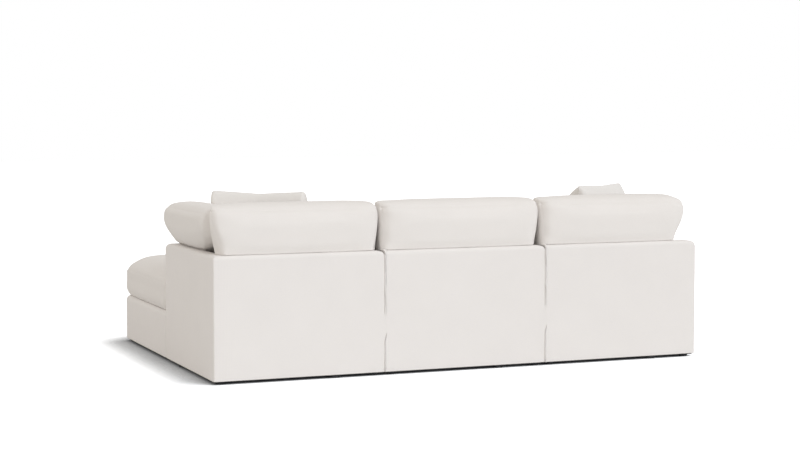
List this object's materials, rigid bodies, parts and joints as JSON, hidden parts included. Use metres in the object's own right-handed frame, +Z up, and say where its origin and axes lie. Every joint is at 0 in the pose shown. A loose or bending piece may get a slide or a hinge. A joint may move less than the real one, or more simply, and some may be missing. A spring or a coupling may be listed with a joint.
{
  "type": "sectional sofa with chaise",
  "caption": "Low upholstered sectional sofa of square modules with loose seat and back cushions, throw pillows, and an ottoman that makes a chaise in front of the corner.",
  "frame": {"origin": "centre of the bounding box in plan, on the floor under the feet", "axes": "+X along the row of backs towards the chaise side, +Y from the seats towards the backs, +Z up"},
  "size_m": [2.7594, 1.8394, 0.9398],
  "materials": {
    "ivory_cloth": "matte woven ivory upholstery cloth over padding",
    "cushion_cloth": "matte woven ivory cushion cloth",
    "pillow_cloth": "matte woven ivory pillow cloth, slightly darker",
    "strap_cloth": "woven elastic webbing",
    "dust_cloth": "thin black non-woven cloth",
    "frame_timber": "planed, unfinished",
    "foot_plastic": "matte black",
    "zinc_steel": "zinc-plated"
  },
  "bodies": {
    "corner": {"corner_base_frame": "frame_timber", "corner_seat_webbing": "strap_cloth", "corner_base_cover": "ivory_cloth", "corner_dust_cover": "dust_cloth", "corner_foot_front_left": "foot_plastic", "corner_foot_front_right": "foot_plastic", "corner_foot_back_left": "foot_plastic", "corner_foot_back_right": "foot_plastic", "corner_back_cover": "ivory_cloth", "corner_back_frame": "frame_timber", "corner_back_bracket": "zinc_steel", "corner_side_cover": "ivory_cloth", "corner_side_frame": "frame_timber", "corner_side_bracket": "zinc_steel", "corner_receiver_right": "zinc_steel", "corner_receiver_front": "zinc_steel"},
    "middle": {"middle_base_frame": "frame_timber", "middle_seat_webbing": "strap_cloth", "middle_base_cover": "ivory_cloth", "middle_dust_cover": "dust_cloth", "middle_foot_front_left": "foot_plastic", "middle_foot_front_right": "foot_plastic", "middle_foot_back_left": "foot_plastic", "middle_foot_back_right": "foot_plastic", "middle_back_cover": "ivory_cloth", "middle_back_frame": "frame_timber", "middle_back_bracket": "zinc_steel", "middle_tongue": "zinc_steel", "middle_receiver_right": "zinc_steel"},
    "right": {"right_base_frame": "frame_timber", "right_seat_webbing": "strap_cloth", "right_base_cover": "ivory_cloth", "right_dust_cover": "dust_cloth", "right_foot_front_left": "foot_plastic", "right_foot_front_right": "foot_plastic", "right_foot_back_left": "foot_plastic", "right_foot_back_right": "foot_plastic", "right_back_cover": "ivory_cloth", "right_back_frame": "frame_timber", "right_back_bracket": "zinc_steel", "right_tongue": "zinc_steel"},
    "ottoman": {"ottoman_base_frame": "frame_timber", "ottoman_seat_webbing": "strap_cloth", "ottoman_base_cover": "ivory_cloth", "ottoman_dust_cover": "dust_cloth", "ottoman_foot_front_left": "foot_plastic", "ottoman_foot_front_right": "foot_plastic", "ottoman_foot_back_left": "foot_plastic", "ottoman_foot_back_right": "foot_plastic", "ottoman_tongue": "zinc_steel"},
    "corner_seat": {"corner_seat_cushion": "cushion_cloth"},
    "middle_seat": {"middle_seat_cushion": "cushion_cloth"},
    "right_seat": {"right_seat_cushion": "cushion_cloth"},
    "ottoman_seat": {"ottoman_seat_cushion": "cushion_cloth"},
    "corner_back_rest": {"corner_back_cushion": "cushion_cloth"},
    "corner_side_rest": {"corner_side_cushion": "cushion_cloth"},
    "middle_back_rest": {"middle_back_cushion": "cushion_cloth"},
    "right_back_rest": {"right_back_cushion": "cushion_cloth"},
    "left_throw": {"left_pillow": "pillow_cloth"},
    "right_throw": {"right_pillow": "pillow_cloth"}
  },
  "joints": [
    {"name": "middle_pull", "type": "slide", "parent": "corner", "child": "middle", "axis": [-1, 0, 0], "range_m": [0, 0.3]},
    {"name": "right_pull", "type": "slide", "parent": "middle", "child": "right", "axis": [-1, 0, 0], "range_m": [0, 0.3]},
    {"name": "ottoman_pull", "type": "slide", "parent": "corner", "child": "ottoman", "axis": [0, -1, 0], "range_m": [0, 0.3]},
    {"name": "corner_seat_lift", "type": "slide", "parent": "corner", "child": "corner_seat", "axis": [0, 0, 1], "range_m": [0, 0.378]},
    {"name": "middle_seat_lift", "type": "slide", "parent": "middle", "child": "middle_seat", "axis": [0, 0, 1], "range_m": [0, 0.378]},
    {"name": "right_seat_lift", "type": "slide", "parent": "right", "child": "right_seat", "axis": [0, 0, 1], "range_m": [0, 0.378]},
    {"name": "ottoman_seat_lift", "type": "slide", "parent": "ottoman", "child": "ottoman_seat", "axis": [0, 0, 1], "range_m": [0, 0.3]},
    {"name": "corner_back_lift", "type": "slide", "parent": "corner_seat", "child": "corner_back_rest", "axis": [0, 0, 1], "range_m": [0, 0.25]},
    {"name": "corner_side_lift", "type": "slide", "parent": "corner_seat", "child": "corner_side_rest", "axis": [0, 0, 1], "range_m": [0, 0.25]},
    {"name": "middle_back_lift", "type": "slide", "parent": "middle_seat", "child": "middle_back_rest", "axis": [0, 0, 1], "range_m": [0, 0.25]},
    {"name": "right_back_lift", "type": "slide", "parent": "right_seat", "child": "right_back_rest", "axis": [0, 0, 1], "range_m": [0, 0.25]},
    {"name": "left_pillow_lift", "type": "slide", "parent": "corner_side_rest", "child": "left_throw", "axis": [0, 0, 1], "range_m": [0, 0.45]},
    {"name": "right_pillow_lift", "type": "slide", "parent": "right_back_rest", "child": "right_throw", "axis": [0, 0, 1], "range_m": [0, 0.45]}
  ]
}
